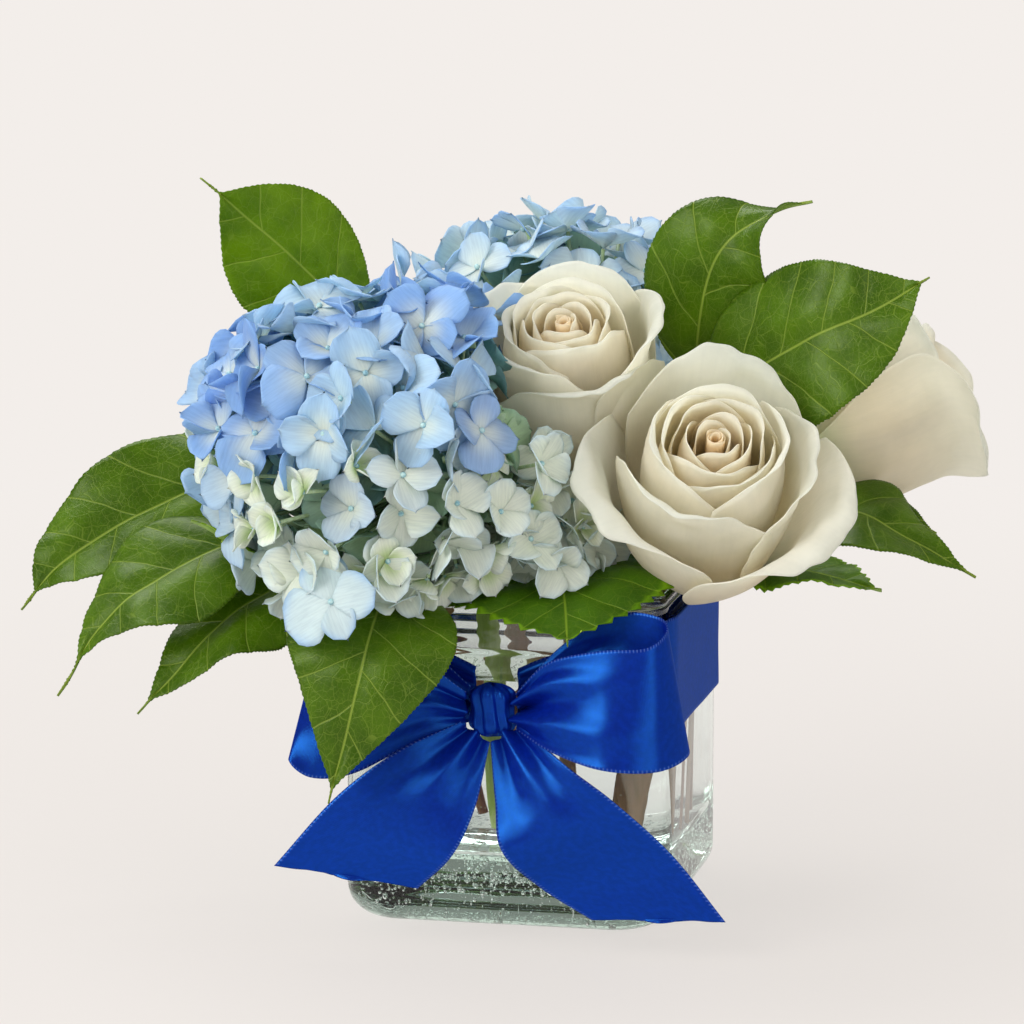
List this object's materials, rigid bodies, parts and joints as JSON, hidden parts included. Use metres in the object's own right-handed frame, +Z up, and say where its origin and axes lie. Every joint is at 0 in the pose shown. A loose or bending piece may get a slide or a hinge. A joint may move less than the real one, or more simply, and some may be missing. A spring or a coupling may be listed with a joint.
{
  "type": "hydrangea and rose arrangement in a square glass vase",
  "caption": "Low flower arrangement of blue hydrangeas, cream roses and glossy leaves in a clear glass cube vase tied with a satin bow.",
  "frame": {"origin": "on the floor under the middle of the vase's foot", "axes": "+Z up, the vase's faces lie along X and Y, the bow is on the -Y side and the single outward-facing rose on the +X side"},
  "size_m": [0.2979, 0.2162, 0.2245],
  "materials": {
    "glass": "clear pressed glass, slightly green and full of seed bubbles in the thick foot",
    "water": "clear still water",
    "ribbon": "royal blue satin weave with a woven edge",
    "hydrangea": "soft matte petals, pale blue to creamy green",
    "rose": "velvety cream petals, peach towards the heart",
    "leaf": "glossy green with pale veins",
    "stem": "satin green to red-brown"
  },
  "bodies": {
    "root": {"foliage_stem_back_left": "stem", "foliage_stem_back_right": "stem", "foliage_stem_front": "stem", "foliage_stem_left": "stem", "foliage_stem_right": "stem", "hydrangea_back_head": "hydrangea", "hydrangea_back_stem": "stem", "hydrangea_front_head": "hydrangea", "hydrangea_front_stem": "stem", "hydrangea_leaf_back_left": "leaf", "hydrangea_leaf_back_right": "leaf", "hydrangea_leaf_front": "leaf", "hydrangea_leaf_left": "leaf", "hydrangea_leaf_right": "leaf", "leaf_far_left": "leaf", "leaf_front_left": "leaf", "leaf_left": "leaf", "leaf_left_low": "leaf", "leaf_left_small": "leaf", "leaf_lower_right": "leaf", "leaf_right": "leaf", "leaf_right_small": "leaf", "leaf_upper_left": "leaf", "leaf_upper_right": "leaf", "ribbon_band": "ribbon", "ribbon_knot": "ribbon", "ribbon_left_loop": "ribbon", "ribbon_left_tail": "ribbon", "ribbon_right_loop": "ribbon", "ribbon_right_tail": "ribbon", "rose_front_heart": "rose", "rose_front_petal_1": "rose", "rose_front_petal_2": "rose", "rose_front_petal_3": "rose", "rose_front_petal_4": "rose", "rose_front_petal_5": "rose", "rose_front_stem": "stem", "rose_middle_heart": "rose", "rose_middle_petal_1": "rose", "rose_middle_petal_2": "rose", "rose_middle_petal_3": "rose", "rose_middle_petal_4": "rose", "rose_middle_petal_5": "rose", "rose_middle_stem": "stem", "rose_right_heart": "rose", "rose_right_petal_1": "rose", "rose_right_petal_2": "rose", "rose_right_petal_3": "rose", "rose_right_petal_4": "rose", "rose_right_petal_5": "rose", "rose_right_stem": "stem", "vase": "glass", "water": "water"}
  },
  "joints": []
}
